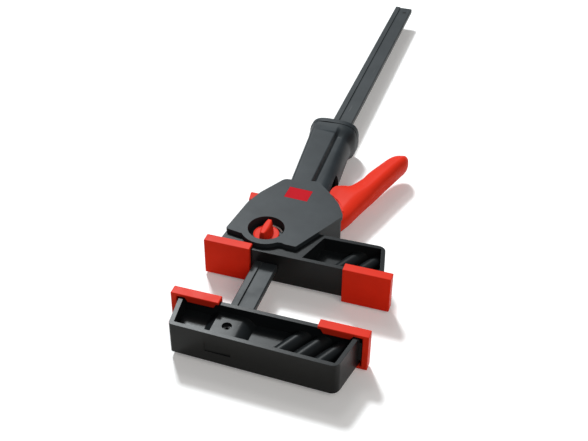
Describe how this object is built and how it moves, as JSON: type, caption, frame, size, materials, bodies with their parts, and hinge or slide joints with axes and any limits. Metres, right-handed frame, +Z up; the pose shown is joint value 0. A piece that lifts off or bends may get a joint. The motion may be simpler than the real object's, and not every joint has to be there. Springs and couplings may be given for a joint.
{
  "type": "quick release bar clamp",
  "caption": "Quick release bar clamp: padded jaws on a flat steel bar, a trigger lever that drives the sliding jaw, a clamp or spread selector knob and a red release button.",
  "frame": {"origin": "on the bench that the clamp lies on, straight below the trigger lever's pivot, in the bar's middle plane", "axes": "+X along the jaws towards their toe, +Y along the bar from the jaws towards the handle, +Z up, out of the face with the knob"},
  "size_m": [0.1423, 0.5396, 0.0353],
  "materials": {
    "dark_plastic": "fine matte grain",
    "red_plastic": "satin red",
    "painted_bar": "dark grey powder coat",
    "bright_steel": "plain zinc-plated steel"
  },
  "bodies": {
    "housing": {"sliding_jaw": "dark_plastic", "sliding_heel_pad": "red_plastic", "sliding_toe_pad": "red_plastic", "upper_shell": "dark_plastic", "lower_shell": "dark_plastic", "end_collar": "dark_plastic", "shell_screws": "bright_steel", "badge_plate": "red_plastic", "lever_pivot_pins": "bright_steel", "lever_return_spring": "bright_steel", "clamp_drive_spring": "bright_steel", "spread_drive_springs": "bright_steel", "clamp_brake_spring": "bright_steel", "spread_brake_spring": "bright_steel", "release_spring": "bright_steel"},
    "bar_unit": {"bar": "painted_bar", "bar_stop_pin": "bright_steel", "fixed_jaw": "dark_plastic", "fixed_jaw_pin": "bright_steel", "fixed_heel_pad": "red_plastic", "fixed_toe_pad": "red_plastic"},
    "trigger": {"trigger_lever": "red_plastic"},
    "clamp_drive": {"clamp_drive_plates": "bright_steel"},
    "spread_drive": {"spread_drive_plates": "bright_steel"},
    "clamp_brake": {"clamp_brake_plate": "bright_steel"},
    "spread_brake": {"spread_brake_plate": "bright_steel"},
    "selector": {"selector_knob": "red_plastic", "selector_cam": "bright_steel", "selector_clip": "bright_steel"},
    "release": {"release_button": "red_plastic"}
  },
  "joints": [
    {"name": "bar_slide", "type": "slide", "parent": "housing", "child": "bar_unit", "axis": [0, -1, 0], "range_m": [-0.0527, 0.2467]},
    {"name": "trigger_squeeze", "type": "hinge", "parent": "housing", "child": "trigger", "pos_m": [0, 0, 0.01675], "axis": [0, 0, 1], "range_deg": [0, 12], "stiffness_Nm_per_rad": 1.5, "springref_deg": -8.59, "deforming": ["lever_return_spring"]},
    {"name": "clamp_drive_slide", "type": "slide", "parent": "housing", "child": "clamp_drive", "axis": [0, 1, 0], "range_m": [0, 0.0033], "deforming": ["clamp_drive_spring"]},
    {"name": "spread_drive_slide", "type": "slide", "parent": "housing", "child": "spread_drive", "axis": [0, -1, 0], "range_m": [0, 0.0033], "deforming": ["spread_drive_springs"]},
    {"name": "release_press", "type": "slide", "parent": "housing", "child": "release", "axis": [1, 0, 0], "range_m": [0, 0.003], "stiffness_N_per_m": 400, "springref_m": -0.002, "deforming": ["release_spring"]},
    {"name": "clamp_brake_tilt", "type": "hinge", "parent": "housing", "child": "clamp_brake", "pos_m": [0.0162, -0.0407, 0.01675], "axis": [0, 0, 1], "range_deg": [0, 4], "deforming": ["clamp_brake_spring"]},
    {"name": "selector_turn", "type": "hinge", "parent": "housing", "child": "selector", "pos_m": [-0.0078, -0.0343, 0.01675], "axis": [0, 0, 1], "range_deg": [0, 90]},
    {"name": "spread_brake_tilt", "type": "hinge", "parent": "housing", "child": "spread_brake", "pos_m": [0.0162, -0.0281, 0.01675], "axis": [0, 0, 1], "range_deg": [0, 4], "deforming": ["spread_brake_spring"]}
  ],
  "couplings": [
    {"joint": "clamp_drive_slide", "follows": "trigger_squeeze", "m_per_rad": 0.0152},
    {"joint": "spread_drive_slide", "follows": "trigger_squeeze", "m_per_rad": 0.0152},
    {"joint": "clamp_brake_tilt", "follows": "release_press", "rad_per_m": 23.27},
    {"joint": "spread_brake_tilt", "follows": "selector_turn", "ratio": 0.0444}
  ]
}
